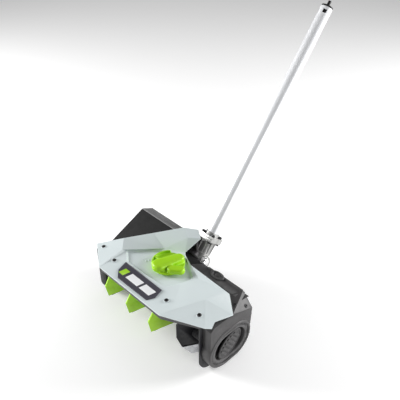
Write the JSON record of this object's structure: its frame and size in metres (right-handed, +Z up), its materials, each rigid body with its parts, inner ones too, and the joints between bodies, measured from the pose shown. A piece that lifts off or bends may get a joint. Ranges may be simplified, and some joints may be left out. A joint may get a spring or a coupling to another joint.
{
  "type": "powered snow shovel attachment",
  "caption": "Snow shovel head on a pole: a belt-driven paddle auger under a pale cover, steered by a knob and vanes, with a bevel gearbox and a drive shaft inside the pole.",
  "frame": {"origin": "on the ground, at the middle of the scraper's lower edge", "axes": "+Z up, +X towards the round side cover, +Y back towards the pole; the auger throws towards -Y"},
  "size_m": [0.348, 0.5751, 0.5805],
  "materials": {
    "pale_plastic": "moulded, fine satin grain",
    "black_plastic": "moulded, fine grain",
    "dark_plastic": "moulded, satin",
    "green_plastic": "moulded, soft gloss",
    "badge_plastic": "smooth",
    "rubber": "moulded",
    "tube_aluminium": "satin drawn tube",
    "cast_aluminium": "bead-blasted casting",
    "steel": "ground",
    "black_steel": "black oxide",
    "painted_steel": "powder coat"
  },
  "bodies": {
    "root": {"auger_bearing_left": "steel", "auger_bearing_right": "steel", "badge_plate": "badge_plastic", "bearing_carrier": "black_steel", "carrier_bolts": "black_steel", "cover_screws": "black_steel", "cross_shaft_bearing": "steel", "drive_belt": "rubber", "flange_bolts": "black_steel", "gearbox_bearing_left": "steel", "gearbox_bearing_right": "steel", "gearbox_body": "cast_aluminium", "gearbox_bolts": "black_steel", "gearbox_end_cap": "cast_aluminium", "housing": "dark_plastic", "left_belt_cover": "black_plastic", "left_end_plate": "painted_steel", "pinion_bearing": "steel", "pole_clamp": "cast_aluminium", "pole_tube": "tube_aluminium", "right_end_plate": "painted_steel", "right_side_cover": "dark_plastic", "scraper_blade": "black_plastic", "scraper_bolts": "black_steel", "shaft_bushes": "black_plastic", "side_cover_screws": "black_steel", "spindle_bush": "black_plastic", "top_cover": "pale_plastic", "vane_pins": "steel"},
    "auger": {"auger_shaft": "steel", "auger_hub": "black_plastic", "end_paddle": "rubber", "end_paddle_tip": "steel", "rear_end_paddle": "rubber", "rear_end_paddle_tip": "steel", "auger_shaft_nut": "steel", "auger_belt_pulley": "cast_aluminium", "paddle_1": "green_plastic", "paddle_2": "green_plastic", "paddle_3": "green_plastic", "paddle_4": "green_plastic", "paddle_5": "green_plastic", "paddle_strip_1": "rubber", "paddle_strip_2": "rubber", "paddle_strip_3": "rubber", "paddle_strip_4": "rubber", "paddle_strip_5": "rubber"},
    "cross_shaft": {"cross_shaft": "steel", "bevel_gear": "steel", "drive_belt_pulley": "steel"},
    "drive_shaft": {"drive_shaft": "steel", "bevel_pinion": "steel"},
    "knob": {"direction_knob": "green_plastic", "knob_spindle": "steel"},
    "link": {"link_bar": "steel"},
    "vane_left": {"vane_left": "black_plastic"},
    "vane_right": {"vane_right": "black_plastic"},
    "end_cap": {"end_cap": "black_plastic"}
  },
  "joints": [
    {"name": "auger_spin", "type": "hinge", "parent": "root", "child": "auger", "pos_m": [0, -0.0895, 0.061], "axis": [1, 0, 0], "continuous": true},
    {"name": "cross_shaft_spin", "type": "hinge", "parent": "root", "child": "cross_shaft", "pos_m": [0, 0.0282, 0.098], "axis": [1, 0, 0], "continuous": true},
    {"name": "drive_shaft_spin", "type": "hinge", "parent": "root", "child": "drive_shaft", "pos_m": [0, 0.0282, 0.098], "axis": [0, 0.6211, 0.7837], "continuous": true},
    {"name": "knob_turn", "type": "hinge", "parent": "root", "child": "knob", "pos_m": [0, -0.0575, 0.13], "axis": [0, 0, 1], "range_deg": [-25, 25]},
    {"name": "link_turn", "type": "hinge", "parent": "knob", "child": "link", "pos_m": [0, -0.0795, 0.13], "axis": [0, 0, 1], "range_deg": [-25, 25]},
    {"name": "vane_left_turn", "type": "hinge", "parent": "root", "child": "vane_left", "pos_m": [-0.06, -0.0575, 0.127], "axis": [0, 0, 1], "range_deg": [-25, 25]},
    {"name": "vane_right_turn", "type": "hinge", "parent": "root", "child": "vane_right", "pos_m": [0.06, -0.0575, 0.127], "axis": [0, 0, 1], "range_deg": [-25, 25]},
    {"name": "end_cap_pull", "type": "slide", "parent": "root", "child": "end_cap", "axis": [0, 0.6211, 0.7837], "range_m": [0, 0.023]}
  ],
  "couplings": [
    {"joint": "cross_shaft_spin", "follows": "auger_spin", "ratio": 2.1667},
    {"joint": "drive_shaft_spin", "follows": "auger_spin", "ratio": 2.8889},
    {"joint": "link_turn", "follows": "knob_turn", "ratio": -1},
    {"joint": "vane_left_turn", "follows": "knob_turn", "ratio": 1},
    {"joint": "vane_right_turn", "follows": "knob_turn", "ratio": 1}
  ]
}
